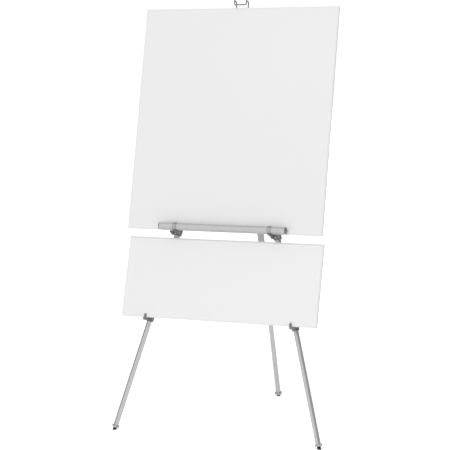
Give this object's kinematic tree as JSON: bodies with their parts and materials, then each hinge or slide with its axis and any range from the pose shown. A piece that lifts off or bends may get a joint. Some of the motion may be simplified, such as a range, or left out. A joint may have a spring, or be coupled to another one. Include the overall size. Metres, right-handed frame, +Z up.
{
  "type": "display easel",
  "caption": "Folding telescopic tripod easel with a level tray bar, clip arms and a wire hook, holding a large board above a small one.",
  "frame": {"origin": "on the floor under the middle of the easel as it stands", "axes": "+Z up; -Y is the front, where the boards face; -X is the left leg as drawn, on the left when seen from the front"},
  "size_m": [0.8242, 0.7702, 1.6281],
  "materials": {
    "tube_silver": "satin anodised",
    "dark_plastic": "moulded, fine texture",
    "lock_plastic": "moulded, fine texture",
    "tip_rubber": "matt",
    "bush_plastic": "natural",
    "board_white": "smooth satin laminate on a rigid foam core",
    "hook_steel": "dark powder coat",
    "pin_steel": "zinc plated"
  },
  "bodies": {
    "head": {"hub": "dark_plastic", "leg_pivot_pins": "pin_steel"},
    "mast": {"mast_tube": "tube_silver", "mast_plug": "dark_plastic", "hook_block": "dark_plastic", "hook_wire": "hook_steel"},
    "mast_knob": {"mast_knob": "dark_plastic"},
    "left_leg": {"left_outer_tube": "tube_silver", "left_knuckle": "dark_plastic", "left_tray_clamp": "dark_plastic", "left_tray_pin": "pin_steel"},
    "left_leg_middle": {"left_middle_tube": "tube_silver", "left_middle_bush": "bush_plastic", "left_clip_clamp": "dark_plastic", "left_clip_pin": "pin_steel", "left_clip_screw": "pin_steel"},
    "left_leg_foot": {"left_inner_tube": "tube_silver", "left_inner_bush": "bush_plastic", "left_foot_tip": "tip_rubber"},
    "left_upper_lock": {"left_upper_lock": "lock_plastic"},
    "left_foot_lock": {"left_foot_lock": "lock_plastic"},
    "left_tray_knob": {"left_tray_knob": "dark_plastic"},
    "left_tray_arm": {"left_tray_arm": "dark_plastic", "tray_bar": "tube_silver", "tray_bar_caps": "dark_plastic"},
    "left_clip_arm": {"left_clip_arm": "dark_plastic"},
    "right_leg": {"right_outer_tube": "tube_silver", "right_knuckle": "dark_plastic", "right_tray_clamp": "dark_plastic", "right_tray_pin": "pin_steel"},
    "right_leg_middle": {"right_middle_tube": "tube_silver", "right_middle_bush": "bush_plastic", "right_clip_clamp": "dark_plastic", "right_clip_pin": "pin_steel", "right_clip_screw": "pin_steel"},
    "right_leg_foot": {"right_inner_tube": "tube_silver", "right_inner_bush": "bush_plastic", "right_foot_tip": "tip_rubber"},
    "right_upper_lock": {"right_upper_lock": "lock_plastic"},
    "right_foot_lock": {"right_foot_lock": "lock_plastic"},
    "right_tray_knob": {"right_tray_knob": "dark_plastic"},
    "right_tray_arm": {"right_tray_arm": "dark_plastic"},
    "right_clip_arm": {"right_clip_arm": "dark_plastic"},
    "rear_leg": {"rear_outer_tube": "tube_silver", "rear_knuckle": "dark_plastic"},
    "rear_leg_middle": {"rear_middle_tube": "tube_silver", "rear_middle_bush": "bush_plastic"},
    "rear_leg_foot": {"rear_inner_tube": "tube_silver", "rear_inner_bush": "bush_plastic", "rear_foot_tip": "tip_rubber"},
    "rear_upper_lock": {"rear_upper_lock": "lock_plastic"},
    "rear_foot_lock": {"rear_foot_lock": "lock_plastic"},
    "upper_board": {"upper_board": "board_white"},
    "lower_board": {"lower_board": "board_white"}
  },
  "joints": [
    {"name": "left_leg_fold", "type": "hinge", "parent": "head", "child": "left_leg", "pos_m": [-0.03498, -0.12996, 1.314], "axis": [0, -0.9833, 0.1822], "range_deg": [0, 12]},
    {"name": "right_leg_fold", "type": "hinge", "parent": "head", "child": "right_leg", "pos_m": [0.03498, -0.12996, 1.314], "axis": [0, -0.9833, 0.1822], "range_deg": [-12, 0]},
    {"name": "left_tray_arm_swivel", "type": "hinge", "parent": "left_leg", "child": "left_tray_arm", "pos_m": [-0.19617, -0.23705, 0.73607], "axis": [0, -0.9833, 0.1822], "range_deg": [-12, 0]},
    {"name": "right_tray_arm_swivel", "type": "hinge", "parent": "right_leg", "child": "right_tray_arm", "pos_m": [0.19617, -0.23705, 0.73607], "axis": [0, -0.9833, 0.1822], "range_deg": [0, 12]},
    {"name": "left_clip_swivel", "type": "hinge", "parent": "left_leg_middle", "child": "left_clip_arm", "pos_m": [-0.28545, -0.29637, 0.41598], "axis": [0, -0.9833, 0.1822], "range_deg": [-12, 0]},
    {"name": "right_clip_swivel", "type": "hinge", "parent": "right_leg_middle", "child": "right_clip_arm", "pos_m": [0.28545, -0.29637, 0.41598], "axis": [0, -0.9833, 0.1822], "range_deg": [0, 12]},
    {"name": "rear_leg_fold", "type": "hinge", "parent": "head", "child": "rear_leg", "pos_m": [0, -0.06472, 1.314], "axis": [-1, 0, 0], "range_deg": [0, 26]},
    {"name": "left_leg_extend", "type": "slide", "parent": "left_leg", "child": "left_leg_middle", "axis": [-0.2645, -0.1757, -0.9482], "range_m": [0, 0.15]},
    {"name": "left_foot_extend", "type": "slide", "parent": "left_leg_middle", "child": "left_leg_foot", "axis": [-0.2645, -0.1757, -0.9482], "range_m": [0, 0.28]},
    {"name": "left_upper_lock_turn", "type": "hinge", "parent": "left_leg", "child": "left_upper_lock", "pos_m": [-0.22586, -0.25677, 0.62964], "axis": [0.2645, 0.1757, 0.9482], "range_deg": [0, 90]},
    {"name": "left_foot_lock_turn", "type": "hinge", "parent": "left_leg_middle", "child": "left_foot_lock", "pos_m": [-0.39882, -0.37169, 0.00948], "axis": [0.2645, 0.1757, 0.9482], "range_deg": [0, 90]},
    {"name": "right_leg_extend", "type": "slide", "parent": "right_leg", "child": "right_leg_middle", "axis": [0.2645, -0.1757, -0.9482], "range_m": [0, 0.15]},
    {"name": "right_foot_extend", "type": "slide", "parent": "right_leg_middle", "child": "right_leg_foot", "axis": [0.2645, -0.1757, -0.9482], "range_m": [0, 0.28]},
    {"name": "right_upper_lock_turn", "type": "hinge", "parent": "right_leg", "child": "right_upper_lock", "pos_m": [0.22586, -0.25677, 0.62964], "axis": [-0.2645, 0.1757, 0.9482], "range_deg": [0, 90]},
    {"name": "right_foot_lock_turn", "type": "hinge", "parent": "right_leg_middle", "child": "right_foot_lock", "pos_m": [0.39882, -0.37169, 0.00948], "axis": [-0.2645, 0.1757, 0.9482], "range_deg": [0, 90]},
    {"name": "rear_leg_extend", "type": "slide", "parent": "rear_leg", "child": "rear_leg_middle", "axis": [0, 0.3175, -0.9482], "range_m": [0, 0.15]},
    {"name": "rear_foot_extend", "type": "slide", "parent": "rear_leg_middle", "child": "rear_leg_foot", "axis": [0, 0.3175, -0.9482], "range_m": [0, 0.28]},
    {"name": "rear_upper_lock_turn", "type": "hinge", "parent": "rear_leg", "child": "rear_upper_lock", "pos_m": [0, 0.1546, 0.65903], "axis": [0, -0.3175, 0.9482], "range_deg": [0, 90]},
    {"name": "rear_foot_lock_turn", "type": "hinge", "parent": "rear_leg_middle", "child": "rear_foot_lock", "pos_m": [0, 0.37211, 0.00948], "axis": [0, -0.3175, 0.9482], "range_deg": [0, 90]},
    {"name": "mast_raise", "type": "slide", "parent": "head", "child": "mast", "axis": [0, 0.1822, 0.9833], "range_m": [0, 0.15]},
    {"name": "mast_knob_turn", "type": "hinge", "parent": "head", "child": "mast_knob", "pos_m": [0, -0.10052, 1.34743], "axis": [1, 0, 0], "range_deg": [0, 180]},
    {"name": "left_tray_knob_turn", "type": "hinge", "parent": "left_leg", "child": "left_tray_knob", "pos_m": [-0.18877, -0.23213, 0.76262], "axis": [0, 0.9833, -0.1822], "range_deg": [0, 180]},
    {"name": "right_tray_knob_turn", "type": "hinge", "parent": "right_leg", "child": "right_tray_knob", "pos_m": [0.18877, -0.23213, 0.76262], "axis": [0, 0.9833, -0.1822], "range_deg": [0, 180]},
    {"name": "upper_board_slide", "type": "slide", "parent": "left_tray_arm", "child": "upper_board", "axis": [1, 0, 0], "range_m": [0, 0.8]},
    {"name": "lower_board_slide", "type": "slide", "parent": "left_clip_arm", "child": "lower_board", "axis": [1, 0, 0], "range_m": [0, 0.8]}
  ],
  "couplings": [
    {"joint": "right_leg_fold", "follows": "left_leg_fold", "ratio": -1},
    {"joint": "left_tray_arm_swivel", "follows": "left_leg_fold", "ratio": -1},
    {"joint": "right_tray_arm_swivel", "follows": "left_leg_fold", "ratio": 1},
    {"joint": "left_clip_swivel", "follows": "left_leg_fold", "ratio": -1},
    {"joint": "right_clip_swivel", "follows": "left_leg_fold", "ratio": 1},
    {"joint": "right_leg_extend", "follows": "left_leg_extend", "ratio": 1}
  ]
}
